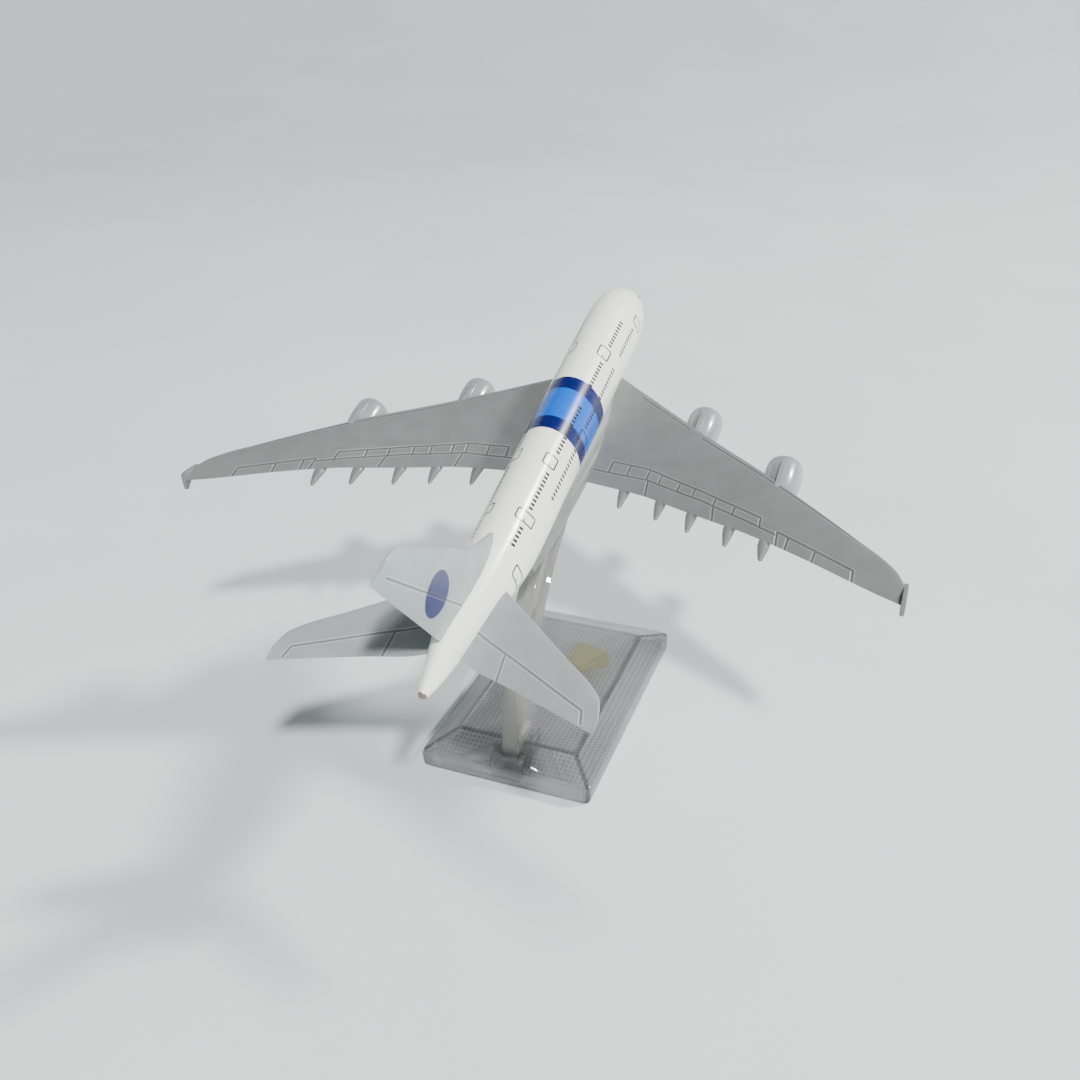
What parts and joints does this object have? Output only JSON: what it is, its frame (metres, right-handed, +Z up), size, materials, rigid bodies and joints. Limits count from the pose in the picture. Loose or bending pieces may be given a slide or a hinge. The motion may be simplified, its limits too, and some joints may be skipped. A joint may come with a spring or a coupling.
{
  "type": "desktop airliner model",
  "caption": "Desk model of a four-engined double-deck airliner, climbing on a curved clear arm that plugs into a clear rectangular base.",
  "frame": {"origin": "on the table, under the middle of the whole outline", "axes": "+Z up, +Y towards the airliner's nose, +X to starboard"},
  "size_m": [0.1772, 0.1614, 0.1067],
  "materials": {
    "fuselage_enamel": "gloss",
    "wing_grey": "satin",
    "tailplane_grey": "satin",
    "fin_paint": "gloss",
    "nacelle_grey": "gloss",
    "engine_dark": "satin",
    "screw_steel": "satin",
    "stand_clear": "gloss",
    "label_paper": "matte"
  },
  "bodies": {
    "base": {"stand_base": "stand_clear", "price_sticker": "label_paper"},
    "arm": {"stand_arm": "stand_clear"},
    "airliner": {"fuselage_shell": "fuselage_enamel", "belly_fairing": "wing_grey", "fin": "fin_paint", "left_wing": "wing_grey", "right_wing": "wing_grey", "left_tailplane": "tailplane_grey", "right_tailplane": "tailplane_grey", "belly_screw_front": "screw_steel", "belly_screw_rear": "screw_steel", "left_inner_nacelle": "nacelle_grey", "left_inner_pylon": "nacelle_grey", "left_inner_fan": "engine_dark", "left_inner_exhaust_cone": "engine_dark", "left_outer_nacelle": "nacelle_grey", "left_outer_pylon": "nacelle_grey", "left_outer_fan": "engine_dark", "left_outer_exhaust_cone": "engine_dark", "right_inner_nacelle": "nacelle_grey", "right_inner_pylon": "nacelle_grey", "right_inner_fan": "engine_dark", "right_inner_exhaust_cone": "engine_dark", "right_outer_nacelle": "nacelle_grey", "right_outer_pylon": "nacelle_grey", "right_outer_fan": "engine_dark", "right_outer_exhaust_cone": "engine_dark"}
  },
  "joints": [
    {"name": "arm_lift", "type": "slide", "parent": "base", "child": "arm", "axis": [0, 0, 1], "range_m": [0, 0.012]},
    {"name": "airliner_lift", "type": "slide", "parent": "arm", "child": "airliner", "axis": [0, -0.342, 0.9397], "range_m": [0, 0.01]}
  ]
}
